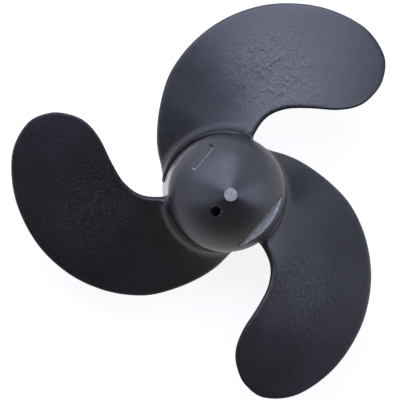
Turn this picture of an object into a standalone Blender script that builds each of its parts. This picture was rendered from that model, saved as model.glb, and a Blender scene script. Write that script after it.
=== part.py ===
"""Three-bladed propeller of a small outboard motor, moulded in one piece in black glass-filled nylon.

The shaft runs along +Z. The open front of the hub stands on Z = 0 and the closed cone points up.
Seen from the cone side, +X is to the right, +Y is up, and blade 1 leaves the hub upwards.
"""

from math import atan2, cos, pi, radians, sin, sqrt

import bmesh
import bpy
from mathutils import Matrix, Vector

MM = 0.001

# Blades
BLADES = 3
TIP_RADIUS = 94.0 * MM
PITCH = 140.0 * MM
RAKE = -0.185
RAKE_RADIUS = 61.0 * MM
BLADE_HEIGHT = 28.0 * MM
ROOT_THICKNESS = 5.2 * MM
TIP_THICKNESS = 2.4 * MM
THINNING = 0.7
EDGE_FULLNESS = 0.5
ROOT_FILLET = 4.5 * MM
EDGE_FILLET = 5.0 * MM

# Blade outline, as radius in mm and angle in degrees anticlockwise from +X, for the blade that leaves upwards
TRAILING_EDGE = (
    (23.6, 66), (36, 62.3), (44, 55), (51, 45.8),
    (59.5, 37), (68, 33.4), (76, 33.6), (84, 35.9), (91, 41),
)
BLADE_TIP = (93.8, 50)
LEADING_EDGE = (
    (23.6, 166), (29.5, 154.8), (37, 140.4), (47, 125.3),
    (57.5, 113), (67.7, 100), (77, 87.5), (84.9, 75), (91, 62),
)

# Hub, outside
HUB_RADIUS = 25.5 * MM
HUB_HEIGHT = 74.0 * MM
BARREL_HEIGHT = 50.0 * MM
FRONT_ROUNDING = 1.2 * MM
TIP_FLAT_RADIUS = 2.9 * MM
CONE_FULLNESS = 0.6

# Hub, inside, open at the front
SHELL_WALL = 3.2 * MM
BOSS_RADIUS = 10.0 * MM
HOLLOW_DEPTH = 45.0 * MM
BORE_RADIUS = 5.2 * MM
BORE_DEPTH = 50.0 * MM
RIBS = 3
FIRST_RIB_ANGLE = radians(60)
RIB_THICKNESS = 3.0 * MM
RIB_SETBACK = 3.0 * MM
RIB_EMBED = 1.0 * MM
PIN_SLOT_WIDTH = 5.2 * MM
PIN_SLOT_DEPTH = 7.0 * MM

# Round hole in the cone
HOLE_RADIUS = 2.1 * MM
HOLE_DISTANCE = 9.4 * MM
HOLE_ANGLE = radians(230.4)
HOLE_DEPTH = 14.0 * MM

# Crescent cut across the cone's shoulder, and opposite it the shallow panel
CRESCENT_ANGLE = radians(319.5)
CRESCENT_DISTANCE = 18.0 * MM
CRESCENT_RADIUS = 22.7 * MM
PANEL_ANGLE = CRESCENT_ANGLE - pi
PANEL_NEAR = 17.9 * MM
PANEL_FAR = 22.2 * MM
PANEL_LEFT = 1.5 * MM
PANEL_RIGHT = 10.9 * MM
PANEL_DEPTH = 0.5 * MM

# Fineness of the mesh
OUTLINE_STEPS = 22
CHORD_STEPS = 10
SPAN_STEPS = 12
HUB_SIDES = 56
CONE_STEPS = 9
SMALL_SIDES = 16
PANEL_STEPS = 4
SHARP_ANGLE = radians(35)

OVERRUN = 2.0 * MM


def polar(radius, angle):
    return Vector((radius * cos(angle), radius * sin(angle)))


def new_object(name, bm):
    """One object from a bmesh: in triangles, so that faces are flat, and smooth except over sharp edges."""
    bmesh.ops.triangulate(bm, faces=bm.faces)
    bmesh.ops.recalc_face_normals(bm, faces=bm.faces)
    mesh = bpy.data.meshes.new(name)
    bm.to_mesh(mesh)
    bm.free()
    mesh.shade_smooth()
    mesh.set_sharp_from_angle(angle=SHARP_ANGLE)
    made = bpy.data.objects.new(name, mesh)
    bpy.context.scene.collection.objects.link(made)
    return made


def tool_object(name, bm):
    """A helper shape for a Boolean: drawn as wire and left out of the model."""
    made = new_object(name, bm)
    made.hide_render = True
    made.display_type = "WIRE"
    return made


def turned(bm, profile, sides):
    """Closed body of revolution about Z, from a (radius, height) profile that starts and ends on the axis."""
    rings = []
    for radius, height in profile:
        if radius == 0:
            rings.append([bm.verts.new((0, 0, height))])
        else:
            ring = [polar(radius, 2 * pi * i / sides) for i in range(sides)]
            rings.append([bm.verts.new((x, y, height)) for x, y in ring])
    for low, high in zip(rings, rings[1:]):
        for i in range(sides):
            j = (i + 1) % sides
            corners = [low[i % len(low)], low[j % len(low)], high[j % len(high)], high[i % len(high)]]
            bm.faces.new(list(dict.fromkeys(corners)))


def block(bm, size, centre, angle):
    """Box with its centre at a point, turned about Z."""
    place = Matrix.Translation(centre) @ Matrix.Rotation(angle, 4, "Z") @ Matrix.Diagonal((*size, 1))
    bmesh.ops.create_cube(bm, size=1, matrix=place)


def root_fillet(radius, fillet):
    """What a blade's fillet adds to its surface, at a radius near the hub's wall. It shrinks again inside."""
    short = max(fillet - abs(radius - HUB_RADIUS), 0)
    return fillet - sqrt(fillet**2 - short**2)


def cone_height(radius):
    """Height of the cone's surface: nearly straight from the tip flat, then rounding into the barrel."""
    share = (radius - TIP_FLAT_RADIUS) / (HUB_RADIUS - TIP_FLAT_RADIUS)
    return BARREL_HEIGHT + (HUB_HEIGHT - BARREL_HEIGHT) * (1 - share) ** CONE_FULLNESS


def hub_profile():
    """Half-section of the hub: down the shaft bore, round boss and hollow, up the barrel and over the cone."""
    shell_radius = HUB_RADIUS - SHELL_WALL
    inside = [
        (0, BORE_DEPTH),
        (BORE_RADIUS, BORE_DEPTH),
        (BORE_RADIUS, 0),
        (BOSS_RADIUS, 0),
        (BOSS_RADIUS, HOLLOW_DEPTH),
        (shell_radius, HOLLOW_DEPTH),
        (shell_radius, 0),
    ]
    barrel = [(HUB_RADIUS - FRONT_ROUNDING, 0), (HUB_RADIUS, FRONT_ROUNDING)]
    cone = []
    for i in range(CONE_STEPS + 1):
        share = cos(pi / 2 * i / CONE_STEPS)
        radius = TIP_FLAT_RADIUS + (HUB_RADIUS - TIP_FLAT_RADIUS) * share
        cone.append((radius, cone_height(radius)))
    return inside + barrel + cone + [(0, HUB_HEIGHT)]


def make_hub():
    bm = bmesh.new()
    turned(bm, hub_profile(), HUB_SIDES)
    return new_object("propeller_moulding", bm)


def curve_through(points, per_span):
    """Smooth curve through points in the plane: a Catmull-Rom spline."""
    ends = [2 * points[0] - points[1]] + points + [2 * points[-1] - points[-2]]
    found = []
    for a, b, c, d in zip(ends, ends[1:], ends[2:], ends[3:]):
        for i in range(per_span):
            t = i / per_span
            bend = (2 * a - 5 * b + 4 * c - d) * t * t + (3 * b - a - 3 * c + d) * t**3
            found.append((2 * b + (c - a) * t + bend) / 2)
    return found + [points[-1]]


def at_share(points, share):
    """Point at a share of a polyline's length."""
    lengths = [(b - a).length for a, b in zip(points, points[1:])]
    left = share * sum(lengths)
    for start, end, length in zip(points, points[1:], lengths):
        if left <= length:
            return start.lerp(end, left / length)
        left -= length
    return points[-1]


def blade_edges():
    """Trailing and leading edge, each as a smooth plan curve from the root to the tip."""
    corners = [*TRAILING_EDGE, BLADE_TIP, *reversed(LEADING_EDGE)]
    points = [polar(radius * MM, radians(angle)) for radius, angle in corners]
    outline = curve_through(points, SPAN_STEPS)
    tip = len(TRAILING_EDGE) * SPAN_STEPS
    return outline[: tip + 1], outline[: tip - 1 : -1]


def blade_surface(radius, angle):
    """Mid-surface of the blade above a plan point, and its normal: a helicoid of constant pitch, with rake."""
    lead = PITCH / (2 * pi)
    height = BLADE_HEIGHT + lead * (pi / 2 - angle) + RAKE * (radius - RAKE_RADIUS)
    outward = polar(1, angle)
    around = polar(1, angle + pi / 2)
    slope = RAKE * outward - lead / radius * around
    return Vector((*polar(radius, angle), height)), Vector((*-slope, 1)).normalized()


def half_thickness(radius, across):
    """Half the blade's thickness: thinner towards the tip, round at both edges, and filleted into the hub."""
    share = max(radius - HUB_RADIUS, 0) / (TIP_RADIUS - HUB_RADIUS)
    middle = ROOT_THICKNESS + (TIP_THICKNESS - ROOT_THICKNESS) * share**THINNING
    return (middle / 2 + root_fillet(radius, ROOT_FILLET)) * sin(across) ** EDGE_FULLNESS


def edge_angle(point, side):
    """Plan angle of a point on a blade's edge, moved to one side by the edge's own fillet into the hub."""
    radius = point.length
    return atan2(point.y, point.x) + side * root_fillet(radius, EDGE_FILLET) / radius


def blade_section(bm, start, end):
    """Upper and lower row of one section of the blade, from the trailing edge to the leading edge.

    Both rows share their end points, which lie on the edges.
    """
    start_angle = edge_angle(start, -1)
    end_angle = edge_angle(end, 1)
    above, below = [], []
    for i in range(CHORD_STEPS + 1):
        across = pi * i / CHORD_STEPS
        share = (1 - cos(across)) / 2
        radius = start.length + (end.length - start.length) * share
        centre, normal = blade_surface(radius, start_angle + (end_angle - start_angle) * share)
        if i in (0, CHORD_STEPS):
            edge = bm.verts.new(centre)
            above.append(edge)
            below.append(edge)
        else:
            offset = normal * half_thickness(radius, across)
            above.append(bm.verts.new(centre + offset))
            below.append(bm.verts.new(centre - offset))
    return above, below


def close_section(bm, above, below):
    """Closes an end of the blade in strips, so that the end follows the curve of its section."""
    for i in range(CHORD_STEPS):
        corners = (above[i], above[i + 1], below[i + 1], below[i])
        bm.faces.new(list(dict.fromkeys(corners)))


def make_blade(number):
    trailing, leading = blade_edges()
    bm = bmesh.new()
    sections = []
    for i in range(OUTLINE_STEPS):
        share = (1 - cos(pi * i / OUTLINE_STEPS)) / 2
        sections.append(blade_section(bm, at_share(trailing, share), at_share(leading, share)))
    for inner, outer in zip(sections, sections[1:]):
        for near, far in zip(inner, outer):
            for i in range(CHORD_STEPS):
                bm.faces.new((near[i], near[i + 1], far[i + 1], far[i]))
    close_section(bm, *sections[0])
    close_section(bm, *sections[-1])
    turn = Matrix.Rotation(2 * pi * number / BLADES, 4, "Z")
    bmesh.ops.transform(bm, matrix=turn, verts=bm.verts)
    return tool_object(f"blade_{number + 1}", bm)


def make_ribs():
    """Radial webs that tie the boss to the shell, set back from the front face."""
    outer = HUB_RADIUS - SHELL_WALL
    length = outer - BOSS_RADIUS + 2 * RIB_EMBED
    height = HOLLOW_DEPTH - RIB_SETBACK + RIB_EMBED
    ribs = []
    for i in range(RIBS):
        angle = FIRST_RIB_ANGLE + 2 * pi * i / RIBS
        centre = polar((outer + BOSS_RADIUS) / 2, angle)
        bm = bmesh.new()
        block(bm, (length, RIB_THICKNESS, height), (*centre, RIB_SETBACK + height / 2), angle)
        ribs.append(tool_object(f"rib_{i + 1}", bm))
    return ribs


def make_pin_slot():
    """Slot across the boss's front face, along Y, where the drive pin sits."""
    height = PIN_SLOT_DEPTH + OVERRUN
    length = 2 * (BOSS_RADIUS + OVERRUN)
    bm = bmesh.new()
    block(bm, (PIN_SLOT_WIDTH, length, height), (0, 0, height / 2 - OVERRUN), 0)
    return tool_object("pin_slot", bm)


def make_cone_hole():
    """Small round hole that runs straight down into the cone."""
    top = HUB_HEIGHT + OVERRUN
    bottom = cone_height(HOLE_DISTANCE) - HOLE_DEPTH
    bm = bmesh.new()
    turned(bm, [(0, bottom), (HOLE_RADIUS, bottom), (HOLE_RADIUS, top), (0, top)], SMALL_SIDES)
    bmesh.ops.translate(bm, vec=(*polar(HOLE_DISTANCE, HOLE_ANGLE), 0), verts=bm.verts)
    return tool_object("cone_hole", bm)


def make_crescent():
    """Block that cuts the crescent: a flat floor across the shoulder, ending in a straight wall."""
    floor = cone_height(CRESCENT_RADIUS)
    top = HUB_HEIGHT + OVERRUN
    depth = HUB_RADIUS + OVERRUN - CRESCENT_DISTANCE
    centre = polar(CRESCENT_DISTANCE + depth / 2, CRESCENT_ANGLE)
    bm = bmesh.new()
    block(bm, (depth, 3 * HUB_RADIUS, top - floor), (*centre, (top + floor) / 2), CRESCENT_ANGLE)
    return tool_object("crescent", bm)


def make_panel():
    """Slab whose underside follows the cone a little below its surface, which cuts the shallow panel."""
    outward = polar(1, PANEL_ANGLE)
    along = Vector((outward.y, -outward.x))
    bm = bmesh.new()
    rows = []
    for i in range(PANEL_STEPS + 1):
        out = PANEL_NEAR + (PANEL_FAR - PANEL_NEAR) * i / PANEL_STEPS
        row = []
        for j in range(PANEL_STEPS + 1):
            side = (PANEL_RIGHT + PANEL_LEFT) * j / PANEL_STEPS - PANEL_LEFT
            point = outward * out + along * side
            height = cone_height(point.length)
            row.append((bm.verts.new((*point, height - PANEL_DEPTH)), bm.verts.new((*point, height + OVERRUN))))
        rows.append(row)
    for near, far in zip(rows, rows[1:]):
        for corners in zip(near, near[1:], far[1:], far):
            for level in zip(*corners):
                bm.faces.new(level)
    columns = list(zip(*rows))
    for border in (rows[0], rows[-1], columns[0], columns[-1]):
        for (low, high), (next_low, next_high) in zip(border, border[1:]):
            bm.faces.new((low, next_low, next_high, high))
    return tool_object("panel", bm)


def combine(body, other, operation):
    step = body.modifiers.new(other.name, "BOOLEAN")
    step.operation = operation
    step.solver = "EXACT"
    step.object = other


def black_nylon():
    material = bpy.data.materials.new("black_glass_filled_nylon")
    material.use_nodes = True
    surface = material.node_tree.nodes["Principled BSDF"]
    surface.inputs["Base Color"].default_value = (0.022, 0.023, 0.028, 1)
    surface.inputs["Roughness"].default_value = 0.42
    surface.inputs["Metallic"].default_value = 0
    return material


def build():
    for old in list(bpy.data.objects):
        bpy.data.objects.remove(old, do_unlink=True)
    moulding = make_hub()
    for number in range(BLADES):
        combine(moulding, make_blade(number), "UNION")
    for rib in make_ribs():
        combine(moulding, rib, "UNION")
    for cutter in (make_pin_slot(), make_cone_hole(), make_crescent(), make_panel()):
        combine(moulding, cutter, "DIFFERENCE")
    moulding.data.materials.append(black_nylon())


build()
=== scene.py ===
# %% [markdown]
# # A small outboard propeller, moulded in one piece
#
# The object is the propeller of a small outboard motor: a hub with three wide, swept blades, injection
# moulded in one shot of black nylon with glass fibre in it. Nothing on it is screwed, glued or welded, so
# the finest model of it is one closed skin as well. The lesson builds that skin from the same few sizes as
# the solid behind it, then gives it the dull, slightly blue-black finish that glass fibre leaves on nylon.

# %% Load the solid model
from math import atan, atan2, ceil, cos, degrees, pi, radians, sin, sqrt, tan

import bmesh
import bpy
from mathutils import Matrix, Vector
from mathutils.kdtree import KDTree


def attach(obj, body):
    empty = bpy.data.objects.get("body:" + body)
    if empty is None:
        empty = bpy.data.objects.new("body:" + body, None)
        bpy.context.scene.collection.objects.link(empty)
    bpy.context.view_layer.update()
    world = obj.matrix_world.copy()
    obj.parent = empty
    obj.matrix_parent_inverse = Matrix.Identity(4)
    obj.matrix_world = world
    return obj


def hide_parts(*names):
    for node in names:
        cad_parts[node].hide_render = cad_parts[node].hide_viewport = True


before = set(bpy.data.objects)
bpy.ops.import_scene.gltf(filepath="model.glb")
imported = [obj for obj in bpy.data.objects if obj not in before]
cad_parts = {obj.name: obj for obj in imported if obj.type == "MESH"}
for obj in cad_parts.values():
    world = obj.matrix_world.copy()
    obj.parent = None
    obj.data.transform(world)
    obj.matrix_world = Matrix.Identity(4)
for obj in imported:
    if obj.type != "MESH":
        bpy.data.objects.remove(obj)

MM = 0.001
scene = bpy.context.scene


def in_mm(values):
    """Lengths in millimetres, rounded for printing."""
    return [round(value / MM, 1) for value in values]


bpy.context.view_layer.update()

# %% [markdown]
# ## The camera
#
# The picture looks almost straight down the shaft, from far away. A long lens keeps the blades from
# spreading with their height. The camera stands a little to the left of the shaft and above it, which is
# why the barrel of the hub shows on the left and the cone's tip sits right of the middle. Those two small
# angles were fitted to the outline of the blades, for the pitch that is used below. A lower pitch, seen a
# little more from the side, fits that outline as well, so they are a choice and no measurement. The camera
# is made first, so that every later step can be looked at through it. Blender gives a sensor and a lens in
# millimetres.

# %% Place the camera
BLADE_HEIGHT = 28.0 * MM
CAMERA_DISTANCE = 1486.5 * MM
CAMERA_LEFT = radians(3.75)
CAMERA_ABOVE = radians(1.67)
PICTURE_WIDTH_SEEN = 174.9 * MM
PICTURE_CENTRE = Vector((-10.35 * MM, -3.74 * MM, BLADE_HEIGHT))
SENSOR_WIDTH = 36
FARTHEST_SEEN = 20


def place_camera():
    """A long lens that looks at the picture's centre, with +Y up in the picture."""
    direction = Vector((
        -sin(CAMERA_LEFT),
        cos(CAMERA_LEFT) * sin(CAMERA_ABOVE),
        cos(CAMERA_LEFT) * cos(CAMERA_ABOVE),
    ))
    location = Vector((0, 0, BLADE_HEIGHT)) + CAMERA_DISTANCE * direction
    towards = (location - PICTURE_CENTRE).normalized()
    up = Vector((0, towards.z, -towards.y)).normalized()
    right = up.cross(towards)
    lens = bpy.data.cameras.new("long_lens")
    lens.sensor_width = SENSOR_WIDTH
    lens.lens = SENSOR_WIDTH * CAMERA_DISTANCE / PICTURE_WIDTH_SEEN
    lens.clip_end = FARTHEST_SEEN
    camera = bpy.data.objects.new("camera", lens)
    axes = Matrix((right, up, towards)).transposed().to_4x4()
    camera.matrix_world = Matrix.Translation(location) @ axes
    scene.collection.objects.link(camera)
    return camera


scene.camera = place_camera()
print("camera at", in_mm(scene.camera.location), "mm, lens", round(scene.camera.data.lens), "mm")

# %% [markdown]
# ## Small tools for building meshes
#
# A bmesh is Blender's editable mesh: points, edges and faces that a script can add one by one. A few
# helpers are enough here. One finishes a bmesh into an object, one makes a body of revolution from a
# half-section, as a lathe would, one makes a box, and one a straight bar from its section. Where a row of a
# grid shrinks to a point, a four-sided face loses a corner, and dict.fromkeys drops the repeated one.

# %% Mesh helpers
ARC_STEPS = 5


def polar(radius, angle):
    return Vector((radius * cos(angle), radius * sin(angle)))


def new_object(name, bm):
    """Turns a bmesh into an object, with its faces pointing out."""
    bmesh.ops.triangulate(bm, faces=bm.faces)
    bmesh.ops.recalc_face_normals(bm, faces=bm.faces)
    mesh = bpy.data.meshes.new(name)
    bm.to_mesh(mesh)
    bm.free()
    made = bpy.data.objects.new(name, mesh)
    scene.collection.objects.link(made)
    return made


def join_rows(bm, near, far):
    """One strip of faces between two rows of points."""
    for a, b, c, d in zip(near, near[1:], far[1:], far):
        corners = list(dict.fromkeys((a, b, c, d)))
        if len(corners) > 2:
            bm.faces.new(corners)


def turned(name, profile, sides):
    """A closed body of revolution from (radius, height) points that start and end on the axis."""
    bm = bmesh.new()
    rings = []
    for radius, height in profile:
        if radius == 0:
            rings.append([bm.verts.new((0, 0, height))] * (sides + 1))
        else:
            ring = [bm.verts.new((*polar(radius, 2 * pi * i / sides), height)) for i in range(sides)]
            rings.append(ring + ring[:1])
    for low, high in zip(rings, rings[1:]):
        join_rows(bm, low, high)
    return new_object(name, bm)


def block(name, size, centre, angle=0.0):
    """A box round a centre, turned about the shaft's direction."""
    bm = bmesh.new()
    place = Matrix.Translation(centre) @ Matrix.Rotation(angle, 4, "Z") @ Matrix.Diagonal((*size, 1))
    bmesh.ops.create_cube(bm, size=1, matrix=place)
    return new_object(name, bm)


def bar(name, profile, angle, half_length):
    """A bar across a direction, from the (distance from the shaft, height) points of its section."""
    outward, sideways = polar(1, angle), polar(1, angle + pi / 2)
    bm = bmesh.new()
    ends = []
    for side in (-half_length, half_length):
        ends.append([bm.verts.new((*(outward * out + sideways * side), height)) for out, height in profile])
        bm.faces.new(ends[-1])
    join_rows(bm, ends[0] + ends[0][:1], ends[1] + ends[1][:1])
    return new_object(name, bm)


def rounded(corner, before, after, radius):
    """An arc that rounds the corner of a half-section, as points from one side to the other."""
    corner, before, after = Vector(corner), Vector(before), Vector(after)
    one, two = (before - corner).normalized(), (after - corner).normalized()
    half = one.angle(two) / 2
    middle = corner + (one + two).normalized() * radius / sin(half)
    start = corner + one * radius / tan(half) - middle
    end = corner + two * radius / tan(half) - middle
    return [tuple(middle + radius * start.slerp(end, i / ARC_STEPS)) for i in range(ARC_STEPS + 1)]


print("helpers ready, with", ARC_STEPS, "steps in a rounded corner")

# %% [markdown]
# ## The hub
#
# The hub is a barrel 51 mm across that closes in a cone over the end of the shaft. Its front is open: the
# moulder cores out the plastic between the wall and the boss on the shaft, since thick nylon sinks and
# warps. One half-section turned about the shaft gives wall, hollow, boss and bore together. The cone's
# height is a power of the distance from the barrel, which runs nearly straight down from the tip and then
# rounds over into the barrel. The barrel gets a ring of points about every millimetre, because the blades
# are joined to it there.

# %% Turn the hub
HUB_RADIUS = 25.5 * MM
HUB_HEIGHT = 74.0 * MM
BARREL_HEIGHT = 50.0 * MM
TIP_FLAT_RADIUS = 2.9 * MM
CONE_FULLNESS = 0.6
TIP_ROUNDING = 0.4 * MM
FRONT_ROUNDING = 1.2 * MM
SHELL_WALL = 3.2 * MM
BOSS_RADIUS = 10.0 * MM
HOLLOW_DEPTH = 45.0 * MM
HOLLOW_ROUNDING = 2.0 * MM
BORE_RADIUS = 5.2 * MM
BORE_DEPTH = 50.0 * MM
BORE_CHAMFER = 0.6 * MM
BOSS_ROUNDING = 0.5 * MM
HUB_SIDES = 160
BARREL_RINGS = 50
CONE_STEPS = 44


def cone_height(radius):
    """Height of the cone's surface at a distance from the shaft."""
    share = (radius - TIP_FLAT_RADIUS) / (HUB_RADIUS - TIP_FLAT_RADIUS)
    return BARREL_HEIGHT + (HUB_HEIGHT - BARREL_HEIGHT) * max(1 - share, 0) ** CONE_FULLNESS


def hub_profile():
    """The half-section, from the bottom of the bore round the open front and up to the tip."""
    shell = HUB_RADIUS - SHELL_WALL
    points = [(0, BORE_DEPTH), (BORE_RADIUS, BORE_DEPTH)]
    points += [(BORE_RADIUS, BORE_CHAMFER), (BORE_RADIUS + BORE_CHAMFER, 0)]
    points += rounded((BOSS_RADIUS, 0), (BORE_RADIUS, 0), (BOSS_RADIUS, HOLLOW_DEPTH), BOSS_ROUNDING)
    points += rounded((BOSS_RADIUS, HOLLOW_DEPTH), (BOSS_RADIUS, 0), (shell, HOLLOW_DEPTH), HOLLOW_ROUNDING)
    points += rounded((shell, HOLLOW_DEPTH), (BOSS_RADIUS, HOLLOW_DEPTH), (shell, 0), HOLLOW_ROUNDING)
    points += [(shell, 0)]
    points += rounded((HUB_RADIUS, 0), (shell, 0), (HUB_RADIUS, BARREL_HEIGHT), FRONT_ROUNDING)
    for i in range(1, BARREL_RINGS):
        height = FRONT_ROUNDING + (BARREL_HEIGHT - FRONT_ROUNDING) * i / BARREL_RINGS
        points.append((HUB_RADIUS, height))
    for i in range(CONE_STEPS):
        radius = TIP_FLAT_RADIUS + (HUB_RADIUS - TIP_FLAT_RADIUS) * cos(pi / 2 * i / CONE_STEPS)
        points.append((radius, cone_height(radius)))
    rim = (TIP_FLAT_RADIUS, HUB_HEIGHT)
    below_rim = TIP_FLAT_RADIUS + TIP_ROUNDING
    points += rounded(rim, (below_rim, cone_height(below_rim)), (0, HUB_HEIGHT), TIP_ROUNDING)
    return points + [(0, HUB_HEIGHT)]


moulding = turned("propeller", hub_profile(), HUB_SIDES)
print("hub:", len(moulding.data.polygons), "triangles")

# %% [markdown]
# ## The outline of a blade
#
# Seen along the shaft, each blade is a broad sickle. Its two edges run from the hub to the tip, and a
# handful of points gives each of them: a distance from the shaft in millimetres, and an angle in degrees. A
# Catmull-Rom curve passes through every point and keeps its bends even, which is what a pattern maker does
# with a thin batten.

# %% Draw the outline
TRAILING_EDGE = (
    (23.6, 66), (36, 62.3), (44, 55), (51, 45.8),
    (59.5, 37), (68, 33.4), (76, 33.6), (84, 35.9), (91, 41),
)
BLADE_TIP = (93.8, 50)
LEADING_EDGE = (
    (23.6, 166), (29.5, 154.8), (37, 140.4), (47, 125.3),
    (57.5, 113), (67.7, 100), (77, 87.5), (84.9, 75), (91, 62),
)
POINTS_PER_SPAN = 24


def curve_through(points, per_span):
    """A Catmull-Rom curve through points in the plane."""
    ends = [2 * points[0] - points[1]] + points + [2 * points[-1] - points[-2]]
    found = []
    for a, b, c, d in zip(ends, ends[1:], ends[2:], ends[3:]):
        for i in range(per_span):
            t = i / per_span
            bend = (2 * a - 5 * b + 4 * c - d) * t * t + (3 * b - a - 3 * c + d) * t**3
            found.append((2 * b + (c - a) * t + bend) / 2)
    return found + [points[-1]]


def blade_edges():
    """Trailing and leading edge, each as a plan curve from the hub to the tip."""
    corners = [*TRAILING_EDGE, BLADE_TIP, *reversed(LEADING_EDGE)]
    points = [polar(radius * MM, radians(angle)) for radius, angle in corners]
    outline = curve_through(points, POINTS_PER_SPAN)
    tip = len(TRAILING_EDGE) * POINTS_PER_SPAN
    return outline[: tip + 1], outline[: tip - 1 : -1]


trailing, leading = blade_edges()
print("edge points:", len(trailing), len(leading))

# %% [markdown]
# ## The blade's surface
#
# A propeller is a screw. A screw surface climbs by the same amount for each degree of turn, here 140 mm for
# a whole turn, so its slope is steep at the hub and gentle at the tip. Seen almost along the shaft that
# climb hardly shows, so 140 mm is a plausible value and not a measured one. The blades also lean a little
# towards the motor as they reach outwards, which is called rake. The skin lies half a thickness above and
# below that surface: about 5 mm at the root and 2.4 mm near the tip. The rounded edges are 1.5 mm thick
# over most of the outline. Near the root they are stouter, and there their round can catch the light.

# %% Define the screw surface and its thickness
PITCH = 140.0 * MM
LEAD = PITCH / (2 * pi)
RAKE = -0.185
RAKE_RADIUS = 61.0 * MM
TIP_RADIUS = 94.0 * MM
ROOT_THICKNESS = 5.2 * MM
TIP_THICKNESS = 2.4 * MM
THINNING = 0.7
EDGE_THICKNESS = 1.5 * MM
ROOT_EDGE_THICKNESS = 3.4 * MM
EDGE_THINNED_AT = 34.0 * MM
EDGE_THINNING = 1.5
CROWN_FULLNESS = 0.8


def blade_surface(radius, angle):
    """A point of the screw surface, and the direction square to it."""
    height = BLADE_HEIGHT + LEAD * (pi / 2 - angle) + RAKE * (radius - RAKE_RADIUS)
    outward = polar(1, angle)
    around = polar(1, angle + pi / 2)
    slope = RAKE * outward - LEAD / radius * around
    return Vector((*polar(radius, angle), height)), Vector((*-slope, 1)).normalized()


def edge_thickness(radius):
    """Thickness of the rounded edge: most at the root, and even from the place on where it is thinned."""
    inside = max(1 - max(radius - HUB_RADIUS, 0) / EDGE_THINNED_AT, 0)
    return EDGE_THICKNESS + (ROOT_EDGE_THICKNESS - EDGE_THICKNESS) * inside**EDGE_THINNING


def half_thickness(radius, share):
    """Half the blade's thickness, at a share of the way from one edge to the other."""
    out = max(radius - HUB_RADIUS, 0) / (TIP_RADIUS - HUB_RADIUS)
    middle = ROOT_THICKNESS + (TIP_THICKNESS - ROOT_THICKNESS) * min(out, 1) ** THINNING
    crown = (4 * share * (1 - share)) ** CROWN_FULLNESS
    edge = edge_thickness(radius)
    return (edge + (middle - edge) * crown) / 2


shown_radii = (HUB_RADIUS, RAKE_RADIUS, TIP_RADIUS)
slope_angles = [round(degrees(atan(LEAD / radius))) for radius in shown_radii]
print("slope of the blade in degrees:", slope_angles, "at radius in mm:", in_mm(shown_radii))

# %% [markdown]
# ## The fillet at the root
#
# Where a blade leaves the hub, the mould has a generous round, because a sharp inner corner would crack.
# Seen in section that round is a quarter circle. It could be cut in afterwards with a bevel, but the bevel
# would have to follow a curved seam between two curved skins. It is simpler to build it into the blade:
# close to the hub each section grows outwards by what the quarter circle asks. The round is 4.5 mm on both
# faces, but the picture shows a much smaller one at the trailing edge, so the two edges have radii of their
# own. The sections are placed by the angle on the circle. One more lies inside the hub's wall, so that
# joining the two bodies finds a clean line to cut.

# %% List the sections of a blade
ROOT_FILLET = 4.5 * MM
EDGE_FILLETS = (2.0 * MM, 4.5 * MM)
FILLET_END = radians(84)
FILLET_SECTIONS = 14
SPAN_SECTIONS = 84
SKIRT = 0.9 * MM


def at_radius(edge, radius):
    """The place on an edge, as a length along it, where it first comes to this distance from the shaft."""
    run = 0.0
    for start, end in zip(edge, edge[1:]):
        if end.length >= radius:
            part = (radius - start.length) / (end.length - start.length)
            return run + part * (end - start).length
        run += (end - start).length
    return run


def along(edge, run):
    """The point on an edge at a length along it."""
    for start, end in zip(edge, edge[1:]):
        length = (end - start).length
        if run <= length:
            return start.lerp(end, run / length)
        run -= length
    return edge[-1]


def edge_length(edge):
    return sum((b - a).length for a, b in zip(edge, edge[1:]))


def blade_sections():
    """For each section: its trailing point, its leading point and its distance from the hub's wall."""
    sections = []
    for i in range(-1, FILLET_SECTIONS + 1):
        turn = FILLET_END * (1 - max(i, 0) / FILLET_SECTIONS)
        distance = ROOT_FILLET * (1 - sin(turn))
        radius = HUB_RADIUS + distance if i >= 0 else HUB_RADIUS - SKIRT
        ends = [along(edge, at_radius(edge, radius)) for edge in (trailing, leading)]
        sections.append((*ends, distance))
    starts = [at_radius(edge, HUB_RADIUS + ROOT_FILLET) for edge in (trailing, leading)]
    lengths = [edge_length(edge) for edge in (trailing, leading)]
    for i in range(1, SPAN_SECTIONS):
        share = sin(pi / 2 * i / SPAN_SECTIONS)
        runs = [start + (length - start) * share for start, length in zip(starts, lengths)]
        sections.append((along(trailing, runs[0]), along(leading, runs[1]), ROOT_FILLET))
    return sections


sections = blade_sections()
print("sections in a blade:", len(sections))

# %% [markdown]
# ## The rounding of the edges
#
# Every section runs from one edge to the other at its own distance from the shaft. Near both edges its
# points crowd together, placed by the angle on a half circle, so that the edge is truly round. How thick
# the skin is close to the outline depends on the distance to the nearest edge, also round the tip, where
# that edge lies ahead and not to the side. A KD-tree, which finds the nearest of many points fast, measures
# that distance.

# %% Prepare the rounded edges
EDGE_POINTS = 7
MIDDLE_POINTS = 46
WIDEST_ROUNDING = 0.3
OUTLINE_STEP = 0.1 * MM


def section_shares(length, edge_width):
    """Places along a section, from 0 to 1: crowded within the rounding at both edges, even between."""
    width = min(edge_width, WIDEST_ROUNDING * length)
    near = [width * (1 - cos(pi / 2 * i / EDGE_POINTS)) / length for i in range(EDGE_POINTS)]
    first, last = width / length, 1 - width / length
    middle = [first + (last - first) * i / MIDDLE_POINTS for i in range(MIDDLE_POINTS + 1)]
    return near + middle + [1 - share for share in reversed(near)]


def outline_tree():
    """The blade's outline on the screw surface, as a tree that finds the nearest point of it."""
    points = []
    for edge in (trailing, leading):
        total = edge_length(edge)
        count = ceil(total / OUTLINE_STEP)
        for i in range(count + 1):
            point = along(edge, total * i / count)
            points.append(blade_surface(point.length, atan2(point.y, point.x))[0])
    tree = KDTree(len(points))
    for index, point in enumerate(points):
        tree.insert(point, index)
    tree.balance()
    print("points on the outline:", len(points))
    return tree


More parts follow.
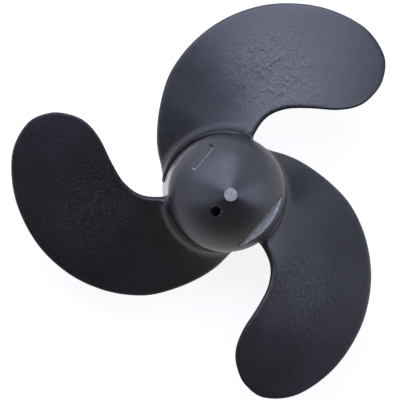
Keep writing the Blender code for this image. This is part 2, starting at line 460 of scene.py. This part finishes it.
def rounding(distance, radius):
    """Half circle at an edge: 0 on the outline, 1 from one radius inwards."""
    short = max(1 - distance / radius, 0)
    return sqrt(max(1 - short**2, 0))


edge_tree = outline_tree()

# %% [markdown]
# ## Skinning a blade
#
# Each section gives a row of points on the upper face and one on the lower face, which share their first
# and their last point. Strips of faces between neighbouring rows close the skin, and one more strip closes
# each end. A mould cut on one machine gives three blades alike, so the second and the third are turned
# copies of the first.

# %% Build the blades
BLADES = 3
TURNS = [Matrix.Rotation(2 * pi * number / BLADES, 3, "Z") for number in range(BLADES)]


def fillet_growth(distance, fillet):
    """What a quarter circle adds at a distance from the wall that it runs into."""
    short = max(fillet - distance, 0)
    return fillet - sqrt(fillet**2 - short**2)


def section_line(start, end, distance):
    """The section's end radii and end angles, with the fillets' growth added along the screw surface."""
    found = []
    for point, side, fillet in zip((start, end), (-1, 1), EDGE_FILLETS):
        radius = point.length
        per_radian = sqrt(radius**2 + LEAD**2)
        growth = side * fillet_growth(distance, fillet)
        found.append((radius, atan2(point.y, point.x) + growth / per_radian))
    return found


def make_blade(outline):
    bm = bmesh.new()
    rows_above, rows_below = [], []
    for start, end, from_wall in sections:
        (radius_a, angle_a), (radius_b, angle_b) = section_line(start, end, from_wall)
        point_a, point_b = blade_surface(radius_a, angle_a)[0], blade_surface(radius_b, angle_b)[0]
        span = max(abs(angle_b - angle_a) * (radius_a + radius_b) / 2, (point_b - point_a).length)
        growth = fillet_growth(from_wall, ROOT_FILLET)
        edge_radius = edge_thickness((radius_a + radius_b) / 2) / 2 + growth
        beyond = from_wall / ROOT_FILLET
        above, below = [], []
        for share in section_shares(span, edge_radius):
            radius = radius_a + (radius_b - radius_a) * share
            centre, normal = blade_surface(radius, angle_a + (angle_b - angle_a) * share)
            beside = min(share, 1 - share) * span
            distance = beside + (outline.find(centre)[2] - beside) * beyond
            if share in (0, 1):
                edge_point = bm.verts.new(centre)
                above.append(edge_point)
                below.append(edge_point)
            else:
                thickness = half_thickness(radius, share) + growth
                offset = normal * thickness * rounding(distance, edge_radius)
                above.append(bm.verts.new(centre + offset))
                below.append(bm.verts.new(centre - offset))
        rows_above.append(above)
        rows_below.append(below)
    for rows in (rows_above, rows_below):
        for near, far in zip(rows, rows[1:]):
            join_rows(bm, near, far)
    for row in (0, -1):
        join_rows(bm, rows_above[row], rows_below[row])
    return new_object("blade_1", bm)


def turned_copy(blade, number):
    mesh = blade.data.copy()
    mesh.transform(TURNS[number].to_4x4())
    made = bpy.data.objects.new(f"blade_{number + 1}", mesh)
    scene.collection.objects.link(made)
    return made


first_blade = make_blade(edge_tree)
blades = [first_blade] + [turned_copy(first_blade, number) for number in range(1, BLADES)]
print("triangles in a blade:", len(first_blade.data.polygons))

# %% [markdown]
# ## Ribs and drive slot
#
# Inside the open front, three ribs carry the boss, and a slot across the boss takes the drive pin, which
# turns the propeller and shears before the gears do. None of this shows in the picture, so it is the usual
# layout for such a small motor. The ribs reach a millimetre into the wall and the boss, and the cutter
# sticks out beyond what it cuts: two bodies that only touch are hard to join or to cut cleanly.

# %% Make the ribs and the slot's cutter
RIBS = 3
FIRST_RIB_ANGLE = radians(60)
RIB_THICKNESS = 3.0 * MM
RIB_SETBACK = 3.0 * MM
EMBED = 1.0 * MM
OVERRUN = 2.0 * MM
PIN_SLOT_WIDTH = 5.2 * MM
PIN_SLOT_DEPTH = 7.0 * MM


def make_ribs():
    outer = HUB_RADIUS - SHELL_WALL
    length = outer - BOSS_RADIUS + 2 * EMBED
    height = HOLLOW_DEPTH - RIB_SETBACK + EMBED
    ribs = []
    for i in range(RIBS):
        angle = FIRST_RIB_ANGLE + 2 * pi * i / RIBS
        centre = (*polar((outer + BOSS_RADIUS) / 2, angle), RIB_SETBACK + height / 2)
        ribs.append(block(f"rib_{i + 1}", (length, RIB_THICKNESS, height), centre, angle))
    return ribs


def make_pin_slot():
    height = PIN_SLOT_DEPTH + OVERRUN
    length = 2 * (BOSS_RADIUS + OVERRUN)
    return block("pin_slot", (PIN_SLOT_WIDTH, length, height), (0, 0, height / 2 - OVERRUN))


ribs = make_ribs()
cutters = [make_pin_slot()]
print("ribs:", [rib.name for rib in ribs], "slot depth in mm:", in_mm([PIN_SLOT_DEPTH]))

# %% [markdown]
# ## Hole and crescent in the cone
#
# The cone has a round hole with a shallow countersink, and a crescent where the shoulder is cut flat. The
# hole runs straight down, but its countersink faces the way the cone does, so it is a cutter of its own,
# tilted to the cone's normal. The crescent is cut by a straight bar across the shoulder. Its floor rises a
# little outwards, which makes it catch the light.

# %% Make the cutters of the hole and the crescent
HOLE_RADIUS = 2.1 * MM
HOLE_DISTANCE = 9.4 * MM
HOLE_ANGLE = radians(230.4)
HOLE_DEPTH = 14.0 * MM
HOLE_SIDES = 48
COUNTERSINK_RADIUS = 3.0 * MM
COUNTERSINK_DEPTH = 0.5 * MM
CRESCENT_ANGLE = radians(319.5)
CRESCENT_DISTANCE = 18.0 * MM
CRESCENT_MIDDLE = 22.2 * MM
CRESCENT_RISE = 0.4
CRESCENT_BAR = 1.5 * HUB_RADIUS


def make_cone_hole():
    top = HUB_HEIGHT + OVERRUN
    bottom = cone_height(HOLE_DISTANCE) - HOLE_DEPTH
    profile = [(0, bottom), (HOLE_RADIUS, bottom), (HOLE_RADIUS, top), (0, top)]
    hole = turned("cone_hole", profile, HOLE_SIDES)
    hole.location = (*polar(HOLE_DISTANCE, HOLE_ANGLE), 0)
    return hole


def make_countersink():
    floor = [(0, -COUNTERSINK_DEPTH), (HOLE_RADIUS, -COUNTERSINK_DEPTH)]
    profile = floor + [(COUNTERSINK_RADIUS, 0), (COUNTERSINK_RADIUS, OVERRUN), (0, OVERRUN)]
    sink = turned("countersink", profile, HOLE_SIDES)
    fall = (cone_height(HOLE_DISTANCE - MM) - cone_height(HOLE_DISTANCE + MM)) / (2 * MM)
    normal = Vector((*polar(fall, HOLE_ANGLE), 1))
    sink.location = (*polar(HOLE_DISTANCE, HOLE_ANGLE), cone_height(HOLE_DISTANCE))
    sink.rotation_euler = normal.to_track_quat("Z", "Y").to_euler()
    return sink


def make_crescent():
    def floor(out):
        return out, cone_height(CRESCENT_MIDDLE) + CRESCENT_RISE * (out - CRESCENT_MIDDLE)

    top, outer = HUB_HEIGHT + OVERRUN, HUB_RADIUS + OVERRUN
    section = [floor(CRESCENT_DISTANCE), floor(outer), (outer, top), (CRESCENT_DISTANCE, top)]
    return bar("crescent", section, CRESCENT_ANGLE, CRESCENT_BAR)


cutters += [make_cone_hole(), make_countersink(), make_crescent()]
print("cutters so far:", [cutter.name for cutter in cutters])

# %% [markdown]
# ## The panel
#
# Opposite the crescent the cone has a shallow panel, left plain here. It follows the cone: a grid of points
# copies the cone's height and sinks by half a millimetre, and its outermost rows climb back out, so that
# the panel gets sloping sides like those of a real mould insert. A small notch at its right end shows as a
# dark stroke.

# %% Make the cutters of the panel
PANEL_ANGLE = CRESCENT_ANGLE - pi
PANEL_NEAR = 17.9 * MM
PANEL_FAR = 22.2 * MM
PANEL_LEFT = 1.5 * MM
PANEL_RIGHT = 10.9 * MM
PANEL_DEPTH = 0.5 * MM
PANEL_SIDE = 0.45 * MM
PANEL_STEPS = 16
NOTCH_SIZE = (1.8 * MM, 0.8 * MM, 2.4 * MM)
NOTCH_DISTANCE = 19.0 * MM


def panel_rows(low, high):
    """Places across the panel, each with the cutter's height there: on the floor, and outside above the rim."""
    inner = [low + (high - low) * i / PANEL_STEPS for i in range(PANEL_STEPS + 1)]
    slope = PANEL_SIDE * OVERRUN / PANEL_DEPTH
    floor = [(place, -PANEL_DEPTH) for place in inner]
    outside = OVERRUN - PANEL_DEPTH
    return [(low - slope, outside)] + floor + [(high + slope, outside)]


def make_panel():
    outward = polar(1, PANEL_ANGLE)
    sideways = Vector((outward.y, -outward.x))
    bm = bmesh.new()
    under, over = [], []
    for out, rise_out in panel_rows(PANEL_NEAR, PANEL_FAR):
        low_row, high_row = [], []
        for side, rise_side in panel_rows(-PANEL_LEFT, PANEL_RIGHT):
            point = outward * out + sideways * side
            height = cone_height(min(point.length, HUB_RADIUS))
            low_row.append(bm.verts.new((*point, height + max(rise_out, rise_side))))
            high_row.append(bm.verts.new((*point, height + 2 * OVERRUN)))
        under.append(low_row)
        over.append(high_row)
    for rows in (under, over):
        for near, far in zip(rows, rows[1:]):
            join_rows(bm, near, far)
    for low_side, high_side in ((under, over), (list(zip(*under)), list(zip(*over)))):
        for border in (0, -1):
            join_rows(bm, low_side[border], high_side[border])
    return new_object("panel", bm)


def make_notch():
    place = polar(NOTCH_DISTANCE, PANEL_ANGLE) + polar(PANEL_RIGHT, PANEL_ANGLE - pi / 2)
    return block("notch", NOTCH_SIZE, (*place, cone_height(place.length)), PANEL_ANGLE)


cutters += [make_panel(), make_notch()]
print("all cutters:", [cutter.name for cutter in cutters])

# %% [markdown]
# ## Joining everything into one skin
#
# Boolean modifiers add and cut whole bodies, as the plastic fills one cavity. The exact solver is slower
# than the others, but it copes with faces that nearly touch. The result is read back as a plain mesh, so
# that nothing is left to work out later. Shading is smooth except over real edges, which are those where
# two faces meet at more than 32 degrees.

# %% Join the skin
SHARP_ANGLE = radians(32)


def join_into(body, additions, cuts):
    """Adds bodies to one and cuts others out of it, and removes them all."""
    for tools, operation in ((additions, "UNION"), (cuts, "DIFFERENCE")):
        for tool in tools:
            step = body.modifiers.new(tool.name, "BOOLEAN")
            step.operation = operation
            step.solver = "EXACT"
            step.object = tool
    bpy.context.view_layer.update()
    whole = body.evaluated_get(bpy.context.evaluated_depsgraph_get())
    mesh = bpy.data.meshes.new_from_object(whole)
    body.modifiers.clear()
    body.data = mesh
    for tool in additions + cuts:
        bpy.data.objects.remove(tool, do_unlink=True)


def tidy_skin(body):
    """Triangles only, smooth shading between real edges, and a count of edges that don't have two faces."""
    bm = bmesh.new()
    bm.from_mesh(body.data)
    bmesh.ops.triangulate(bm, faces=bm.faces)
    open_edges = sum(1 for edge in bm.edges if len(edge.link_faces) != 2)
    volume = bm.calc_volume()
    bm.to_mesh(body.data)
    bm.free()
    body.data.shade_smooth()
    body.data.set_sharp_from_angle(angle=SHARP_ANGLE)
    return open_edges, volume


join_into(moulding, blades + ribs, cutters)
open_edges, volume = tidy_skin(moulding)
print("triangles:", len(moulding.data.polygons), "open edges:", open_edges)
print("volume in mm3:", round(volume / MM**3))

# %% [markdown]
# ## Marking the places with a finish of their own
#
# Most of the skin came out of one smooth mould, but a few places look different. The flat on the cone's tip
# and the floor of the crescent are paler and mottled, as where the runner was cut off and the nylon torn a
# little, and the crescent's floor is made paler still by a painted highlight. The panel is grained, as
# spark-eroded inserts are, and its inner side and one corner are painted pale, a painted highlight where
# those sloping sides face the lamps. The barrel's upright wall is smoother than the rest, because that part
# of a mould is turned and polished to let the moulding slide out. A material can read such places from a
# named attribute, a number kept with every face of the mesh. It moves with the mesh, so it holds from any
# side.
#
# A face is told by its place and by the height of its normal, which is 1 on a level face, 0 on an upright
# one, and 0.93 on the crescent's rising floor.

# %% Mark the flats, the panel and the barrel
TIP_PALENESS = 0.58
CRESCENT_PALENESS_AND_HIGHLIGHT = 1.0
PANEL_SIDE_HIGHLIGHT = 0.15
PANEL_CORNER_HIGHLIGHT = 0.5
LEVEL = 0.99
RISING_FLOOR = 0.9
UPRIGHT = 0.1
CRESCENT_MARGIN = 0.5 * MM
WALL_MARGIN = 0.1 * MM
SIDE_DEPTH = 0.1 * PANEL_DEPTH
FLOOR_DEPTH = 0.8 * PANEL_DEPTH


def mark_faces(body, name, value_of):
    """Writes a number for every face, worked out from its centre and its normal."""
    attribute = body.data.attributes.new(name, "FLOAT", "FACE")
    values = [value_of(face.center, face.normal) for face in body.data.polygons]
    attribute.data.foreach_set("value", values)
    return sum(1 for value in values if value > 0)


def panel_place(centre):
    """How far out and how far sideways a point lies, measured as for the panel, and its depth in the cone."""
    out = centre.xy.dot(polar(1, PANEL_ANGLE))
    side = centre.xy.dot(polar(1, PANEL_ANGLE - pi / 2))
    return out, side, cone_height(min(centre.xy.length, HUB_RADIUS)) - centre.z


def pale_cut_and_painted_highlight(centre, normal):
    """How pale the skin is: most on the crescent's floor, partly a painted highlight, less on the tip, and a
    painted highlight on the panel's inner side.
    """
    if centre.z > HUB_HEIGHT - TIP_ROUNDING and normal.z > LEVEL:
        return TIP_PALENESS
    out, side, depth = panel_place(centre)
    in_crescent = -out > CRESCENT_DISTANCE - CRESCENT_MARGIN and centre.z > BARREL_HEIGHT
    # Partly a painted highlight: the crescent's floor is made as pale as the torn grey goes.
    if in_crescent and normal.z > RISING_FLOOR:
        return CRESCENT_PALENESS_AND_HIGHLIGHT
    if not SIDE_DEPTH < depth < PANEL_DEPTH or side > PANEL_RIGHT:
        return 0.0
    # Painted highlight: the panel's inner side and its corner are painted pale where they face the lamps.
    if -PANEL_LEFT - PANEL_SIDE < side < -PANEL_LEFT and abs(out - PANEL_NEAR) < 2 * PANEL_SIDE:
        return PANEL_CORNER_HIGHLIGHT
    if -PANEL_LEFT < side and PANEL_NEAR - PANEL_SIDE < out < PANEL_NEAR:
        return PANEL_SIDE_HIGHLIGHT
    return 0.0


def grained_panel(centre, normal):
    """1 on the panel's floor, 0 elsewhere."""
    out, side, depth = panel_place(centre)
    on_floor = centre.z > BARREL_HEIGHT - OVERRUN and depth > FLOOR_DEPTH
    return float(on_floor and PANEL_NEAR < out < PANEL_FAR and -PANEL_LEFT < side < PANEL_RIGHT)


def polished_barrel(centre, normal):
    """1 on the barrel's upright wall, 0 elsewhere."""
    upright = abs(normal.z) < UPRIGHT and FRONT_ROUNDING < centre.z < BARREL_HEIGHT
    return float(upright and abs(centre.xy.length - HUB_RADIUS) < WALL_MARGIN)


print("faces on pale cuts:", mark_faces(moulding, "pale_cut_and_painted_highlight", pale_cut_and_painted_highlight))
print("faces on the panel:", mark_faces(moulding, "grained_panel", grained_panel))
print("faces on the barrel:", mark_faces(moulding, "polished_barrel", polished_barrel))

# %% [markdown]
# ## Marking the blades' edges
#
# The two halves of the mould meet along the outline of the blades. There the rim is painted almost black and
# made rougher: a painted dark reflection, a thin dark line round each blade where the rounded edge would
# otherwise mirror the bright table. The KD-tree tells how far each point of the skin is from the outline. It
# holds the first blade only, so each point is also turned back by one third and by two thirds of a circle.

# %% Mark the blades' edges
DARK_RIM_WIDTH = 0.6 * MM
DARK_RIM_FADE = 0.4 * MM


def mark_points(body, name, value_of):
    """Writes a number for every point, worked out from where it lies."""
    attribute = body.data.attributes.new(name, "FLOAT", "POINT")
    values = [value_of(point.co) for point in body.data.vertices]
    attribute.data.foreach_set("value", values)
    return sum(1 for value in values if value > 0)


def painted_dark_rim(place):
    """1 on the rim of a blade, which is painted dark as a painted dark reflection, fading to 0 over the blade's
    faces.
    """
    nearest = min(edge_tree.find(turn.transposed() @ place)[2] for turn in TURNS)
    return min(max((DARK_RIM_WIDTH + DARK_RIM_FADE - nearest) / DARK_RIM_FADE, 0), 1)


# These points get the painted dark reflection on the blades' rims.
print("points on scraped edges:", mark_points(moulding, "painted_dark_rim", painted_dark_rim))

# %% [markdown]
# ## Colours and nodes
#
# Colours are noted as sRGB hex values, the way a colour picker gives them, and one function turns them into
# the linear numbers that shaders work with, by the curve of the sRGB standard. A second small function adds
# a node to a material with its settings and its links, so that each material reads as a list of what it
# does. Giving it a whole node as an input means that node's first output.

# %% Colour and node helpers
def linear(hex_colour):
    """An sRGB hex colour as linear red, green, blue and a full alpha."""
    channels = [int(hex_colour[i : i + 2], 16) / 255 for i in (1, 3, 5)]
    return (*[c / 12.92 if c <= 0.04045 else ((c + 0.055) / 1.055) ** 2.4 for c in channels], 1)


def add_node(tree, kind, inputs, **settings):
    """Adds a node. An input given as a node or a socket is linked, and any other value is set."""
    node = tree.nodes.new("ShaderNode" + kind)
    for name, value in settings.items():
        setattr(node, name, value)
    for name, value in inputs.items():
        if isinstance(value, bpy.types.Node):
            value = next(socket for socket in value.outputs if socket.enabled)
        if isinstance(value, bpy.types.NodeSocket):
            tree.links.new(value, node.inputs[name])
        else:
            node.inputs[name].default_value = value
    return node


print("a mid grey in linear numbers:", [round(value, 4) for value in linear("#808080")])

# %% [markdown]
# ## Where the flow marks lie
#
# In the middle of a blade two fronts of plastic seem to have met while the mould filled, and left a patch
# of small crinkles. All three blades fill alike, so the patch lies at the same place on each, but it is
# plain to see on the first one only. Three soft round masks, broken up by a cloudy noise, say how strong
# the marks are at any point. The textures work in millimetres, from the object's own coordinates.
#
# A noise texture gives mostly values between 0.3 and 0.7. So wherever one is turned into a share, a range
# says which stretch of its values becomes 0 to 1.

# %% Mask the flow marks
FLOW_MARK_CENTRE = Vector((22, 51, 0))
FLOW_MARK_CORE = 5
FLOW_MARK_REACH = 25
FLOW_MARK_STRENGTHS = (1.0, 0.5, 0.45)
PATCH_WIDTH = 15
PATCH_RANGE = {"From Min": 0.28, "From Max": 0.45}


def flow_marks(tree, place):
    """How strong the flow marks are, from 0 to 1."""
    flat = add_node(tree, "VectorMath", {0: place, 1: (1, 1, 0)}, operation="MULTIPLY")
    total = 0.0
    for turn, strength in zip(TURNS, FLOW_MARK_STRENGTHS):
        apart = {0: flat, 1: turn @ FLOW_MARK_CENTRE}
        away = add_node(tree, "VectorMath", apart, operation="DISTANCE").outputs["Value"]
        fading = {"From Min": FLOW_MARK_CORE, "From Max": FLOW_MARK_REACH, "To Min": strength, "To Max": 0}
        mask = add_node(tree, "MapRange", {"Value": away, **fading})
        total = add_node(tree, "Math", {0: mask, 1: total}, operation="ADD")
    blots = add_node(tree, "TexNoise", {"Vector": place, "Scale": 1 / PATCH_WIDTH, "Detail": 2})
    broken = add_node(tree, "MapRange", {"Value": blots, **PATCH_RANGE})
    return add_node(tree, "Math", {0: total, 1: broken}, operation="MULTIPLY")


print("flow marks at, in mm:", [[round(v) for v in (turn @ FLOW_MARK_CENTRE).xy] for turn in TURNS])

# %% [markdown]
# ## The textures of black glass-filled nylon
#
# The plastic is nylon 6 with about a third of short glass fibre, black all through and injection moulded.
# To the eye that gives a dark, slightly blue grey that is never quite even. A clear coat or an even black
# would look like painted metal. So the colour stays nearly flat, and the life comes from the surface: a
# broad soft gloss, small changes of roughness, and relief at four scales.
#
# Five noise textures carry all of that, with their widths in millimetres. The fibres are about 0.01 mm
# thick, too fine for a picture whose pixels are 0.44 mm wide, so the grain that they leave is drawn 1.1 mm
# wide. The waves are the slight unevenness of a thin wall that shrank as it cooled. Painted shade lies on
# the rim of each blade, as a painted dark reflection, and on a narrow band at the foot of the crescent's
# wall, as a painted shadow.

# %% Lay out the textures
NOISES = (
    ("grain", 1.1, {"Detail": 3}),
    ("mottle", 2.4, {"Detail": 4}),
    ("crinkle", 3.8, {"Distortion": 1.6}),
    ("wave", 13, {}),
    ("clouds", 22, {"Detail": 3}),
)
MARKS = ("pale_cut_and_painted_highlight", "grained_panel", "polished_barrel", "painted_dark_rim")
WALL_FOOT_SHADOW_BAND = 0.45


def nylon_textures(tree):
    """Everything that varies over the skin, by name."""
    metres = add_node(tree, "TexCoord", {}).outputs["Object"]
    place = add_node(tree, "VectorMath", {0: metres, 1: (1 / MM,) * 3}, operation="MULTIPLY").outputs[0]
    skin = {"flow_marks": flow_marks(tree, place)}
    for name in MARKS:
        skin[name] = add_node(tree, "Attribute", {}, attribute_name=name).outputs["Fac"]
    for name, width, settings in NOISES:
        skin[name] = add_node(tree, "TexNoise", {"Vector": place, "Scale": 1 / width, **settings})
    # Painted shadow: a band 0.45 mm either side of the line of the crescent's wall, on its pale floor only.
    outward = {0: place, 1: (*polar(1, CRESCENT_ANGLE), 0)}
    distance = add_node(tree, "VectorMath", outward, operation="DOT_PRODUCT").outputs["Value"]
    foot = {0: distance, 1: CRESCENT_DISTANCE / MM, 2: WALL_FOOT_SHADOW_BAND}
    painted_shadow_at_wall_foot = add_node(tree, "Math", foot, operation="COMPARE")
    painted_shade = {0: painted_shadow_at_wall_foot, 1: skin["pale_cut_and_painted_highlight"], 2: skin["painted_dark_rim"]}
    skin["painted_shade"] = add_node(tree, "Math", painted_shade, operation="MULTIPLY_ADD")
    return skin


print("textures and their widths in mm:", {name: width for name, width, settings in NOISES})

# %% [markdown]
# ## The nylon's colour
#
# The plastic itself is a cloudy mixture of two blacks. Pale specks lie in it where fibres come up to the
# skin, most of them in the flow marks. The cut flats show torn nylon, which is a light grey, and the same
# greys make the painted highlights on the crescent's floor and the panel's inner side. The painted shade on
# the blades' rims and at the foot of the crescent's wall is almost pure black.

# %% Mix the colour
BLACKS = ("#17181B", "#1E1F24")
SPECK_GREY = "#4A4B50"
TORN_AND_HIGHLIGHT_GREYS = ("#A2A7A8", "#CDD0CF")
PAINTED_SHADE_BLACK = "#050506"
SPECKS = 0.14
FLOW_SPECKS = 0.7
MIXED_RANGE = {"From Min": 0.35, "From Max": 0.65}
SPECK_RANGE = {"From Min": 0.42, "From Max": 0.7}


def nylon_colour(tree, skin):
    cloudy = add_node(tree, "MapRange", {"Value": skin["clouds"], **MIXED_RANGE})
    blacks = {"Factor": cloudy, "A": linear(BLACKS[0]), "B": linear(BLACKS[1])}
    black = add_node(tree, "Mix", blacks, data_type="RGBA")
    most = {0: skin["flow_marks"], 1: FLOW_SPECKS, 2: SPECKS}
    most_specks = add_node(tree, "Math", most, operation="MULTIPLY_ADD")
    fibres = add_node(tree, "MapRange", {"Value": skin["grain"], **SPECK_RANGE, "To Max": most_specks})
    specks = {"Factor": fibres, "A": black, "B": linear(SPECK_GREY)}
    speckled = add_node(tree, "Mix", specks, data_type="RGBA")
    blotches = add_node(tree, "MapRange", {"Value": skin["grain"], **MIXED_RANGE})
    # Torn-nylon greys, also used as the painted highlights on the crescent and the panel.
    greys = {"Factor": blotches, "A": linear(TORN_AND_HIGHLIGHT_GREYS[0]), "B": linear(TORN_AND_HIGHLIGHT_GREYS[1])}
    torn_and_highlight_grey = add_node(tree, "Mix", greys, data_type="RGBA")
    cuts = {"Factor": skin["pale_cut_and_painted_highlight"], "A": speckled, "B": torn_and_highlight_grey}
    with_cuts_and_highlights = add_node(tree, "Mix", cuts, data_type="RGBA")
    # Painted shade: the blades' rims and the foot of the crescent's wall are painted almost black.
    painted_shade_places = {"Factor": skin["painted_shade"], "A": with_cuts_and_highlights, "B": linear(PAINTED_SHADE_BLACK)}
    return add_node(tree, "Mix", painted_shade_places, data_type="RGBA")


print("the darker black in linear numbers:", [round(value, 4) for value in linear(BLACKS[0])])

# %% [markdown]
# ## Roughness and relief
#
# The roughness was matched to how softly the lamps fade over the blades. It varies a little with the
# clouds, is higher where the skin is cut, grained or painted with shade, and lower on the polished barrel.
# The relief is added up in millimetres: grain and waves all over, crinkles in the flow marks, and a mottle
# that is twice as high on the marked places and missing on the barrel. A bump node turns that height into a
# tilt of the surface, which is enough for forms of a tenth of a millimetre.

# %% Set the roughness and the relief
ROUGHNESS_RANGE = {"From Min": 0.3, "From Max": 0.7, "To Min": 0.33, "To Max": 0.38}
ROUGHER = {"grained_panel": 0.1, "pale_cut_and_painted_highlight": 0.2, "painted_shade": 0.45, "polished_barrel": -0.15}
GRAIN_HEIGHT = 0.026
MOTTLE_HEIGHT = 0.055
CRINKLE_HEIGHT = 0.42
WAVE_HEIGHT = 0.06


def nylon_roughness(tree, skin):
    rough = add_node(tree, "MapRange", {"Value": skin["clouds"], **ROUGHNESS_RANGE})
    for name, more in ROUGHER.items():
        rough = add_node(tree, "Math", {0: skin[name], 1: more, 2: rough}, operation="MULTIPLY_ADD")
    return rough


def nylon_relief(tree, skin):
    crinkles = add_node(tree, "Math", {0: skin["flow_marks"], 1: CRINKLE_HEIGHT}, operation="MULTIPLY")
    marked = add_node(tree, "Math", {0: skin["pale_cut_and_painted_highlight"], 1: skin["grained_panel"]}, operation="ADD")
    marked = add_node(tree, "Math", {0: marked, 1: skin["polished_barrel"]}, operation="SUBTRACT")
    grit = add_node(tree, "Math", {0: marked, 1: MOTTLE_HEIGHT, 2: MOTTLE_HEIGHT}, operation="MULTIPLY_ADD")
    heights = {"grain": GRAIN_HEIGHT, "wave": WAVE_HEIGHT, "crinkle": crinkles, "mottle": grit}
    relief = 0.0
    for name, height in heights.items():
        relief = add_node(tree, "Math", {0: skin[name], 1: height, 2: relief}, operation="MULTIPLY_ADD")
    return add_node(tree, "Bump", {"Height": relief, "Distance": MM, "Strength": 1.0})


print("changes of roughness:", ROUGHER)

# %% [markdown]
# ## Putting the nylon together
#
# The Principled shader stands for most real surfaces. For plastic it needs a colour, a roughness, a relief
# and the index of refraction, which sets how much light the bare surface mirrors: 1.53 for nylon.

# %% Make the nylon
NYLON_IOR = 1.53


def black_glass_filled_nylon():
    material = bpy.data.materials.new("nylon_moulded_black")
    material.use_nodes = True
    tree = material.node_tree
    surface = tree.nodes["Principled BSDF"]
    surface.inputs["IOR"].default_value = NYLON_IOR
    skin = nylon_textures(tree)
    tree.links.new(nylon_colour(tree, skin).outputs["Result"], surface.inputs["Base Color"])
    tree.links.new(nylon_roughness(tree, skin).outputs[0], surface.inputs["Roughness"])
    tree.links.new(nylon_relief(tree, skin).outputs["Normal"], surface.inputs["Normal"])
    return material


moulding.data.materials.clear()
moulding.data.materials.append(black_glass_filled_nylon())
print("materials:", [slot.material.name for slot in moulding.material_slots])

# %% [markdown]
# ## The table
#
# The propeller stands on a table of opal acrylic that is lit from below, as for pictures with a plain white
# ground. Since the table shines by itself, it takes almost no shadow. Its light also comes back from below
# on the barrel, which is why that wall is the brightest place on the left of the hub.

# %% Make the table
TABLE_REACH = 3
TABLE_GREY = "#929292"
TABLE_ROUGHNESS = 0.9
TABLE_GLOW = 0.85


def make_table():
    bm = bmesh.new()
    bmesh.ops.create_grid(bm, x_segments=1, y_segments=1, size=TABLE_REACH)
    mesh = bpy.data.meshes.new("table")
    bm.to_mesh(mesh)
    bm.free()
    made = bpy.data.objects.new("table", mesh)
    scene.collection.objects.link(made)
    material = bpy.data.materials.new("opal_acrylic_lit_from_below")
    material.use_nodes = True
    surface = material.node_tree.nodes["Principled BSDF"]
    surface.inputs["Base Color"].default_value = linear(TABLE_GREY)
    surface.inputs["Roughness"].default_value = TABLE_ROUGHNESS
    surface.inputs["Specular IOR Level"].default_value = 0
    surface.inputs["Emission Color"].default_value = linear("#FFFFFF")
    surface.inputs["Emission Strength"].default_value = TABLE_GLOW
    mesh.materials.append(material)
    return made


table = make_table()
print("table:", table.data.materials[0].name)

# %% [markdown]
# ## The lamps
#
# Black plastic shows little of its own colour, so what the camera sees on it is mostly the lamps: each
# stretch of blade mirrors, blurred, the part of the room that it leans towards. The top blade leans back
# and mirrors the boxes behind the table, the right one those on the right, and the left one looks into the
# dark front of the room. So a low ring of soft boxes goes round the back half of the object, with one more
# above the ring, a weak one on the left for the rounded edges, and two small ones overhead for the places
# that are square to the shaft. The powers were matched together, from one picture for each lamp alone, to
# the tones of the photograph. The light is bluish but for the last box, and the dim room around is warmer.
#
# An azimuth of 0 degrees is the right of the picture and 90 its top. Sizes and distances are in metres, and
# powers in watts.

# %% Set up the lamps
DAYLIGHT = "#D7DFFF"
WHITE = "#FFFFFF"
DIM_ROOM = "#625C59"
LAMP_DISTANCE = 1.6
RING_ELEVATION = 17
RING_BOX = (1.2, 0.6)
SMALL_BOX = (0.7, 0.5)
RING_POWERS = {0: 8.4, 45: 4.3, 90: 11.2, 135: 8.9, 180: 4.2}


def soft_box(name, azimuth, elevation, size, power, colour):
    """A soft box that faces the object."""
    lamp = bpy.data.lights.new(name, "AREA")
    lamp.shape = "RECTANGLE"
    lamp.size, lamp.size_y = size
    lamp.energy = power
    lamp.color = linear(colour)[:3]
    made = bpy.data.objects.new(name, lamp)
    flat = polar(cos(radians(elevation)), radians(azimuth))
    direction = Vector((flat.x, flat.y, sin(radians(elevation))))
    made.location = Vector((0, 0, BLADE_HEIGHT)) + direction * LAMP_DISTANCE
    made.rotation_euler = direction.to_track_quat("Z", "Y").to_euler()
    scene.collection.objects.link(made)
    return made


lamps = []
for azimuth, power in RING_POWERS.items():
    lamps.append(soft_box(f"ring_box_{azimuth}", azimuth, RING_ELEVATION, RING_BOX, power, DAYLIGHT))
lamps.append(soft_box("box_left", 200, 32, (0.8, 0.5), 1.2, DAYLIGHT))
lamps.append(soft_box("box_behind", 115, 42, (1.3, 0.6), 15.6, DAYLIGHT))
lamps.append(soft_box("box_above", 80, 67, SMALL_BOX, 6.8, DAYLIGHT))
lamps.append(soft_box("box_above_right", 20, 60, SMALL_BOX, 2.0, WHITE))
world = bpy.data.worlds.new("dim_room")
world.use_nodes = True
world.node_tree.nodes["Background"].inputs["Color"].default_value = linear(DIM_ROOM)
scene.world = world
scene.view_settings.view_transform = "Standard"
print("lamps:", [lamp.name for lamp in lamps])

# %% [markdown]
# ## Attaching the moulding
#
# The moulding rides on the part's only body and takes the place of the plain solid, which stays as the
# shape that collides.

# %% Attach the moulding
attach(moulding, "root")
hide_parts("propeller_moulding")
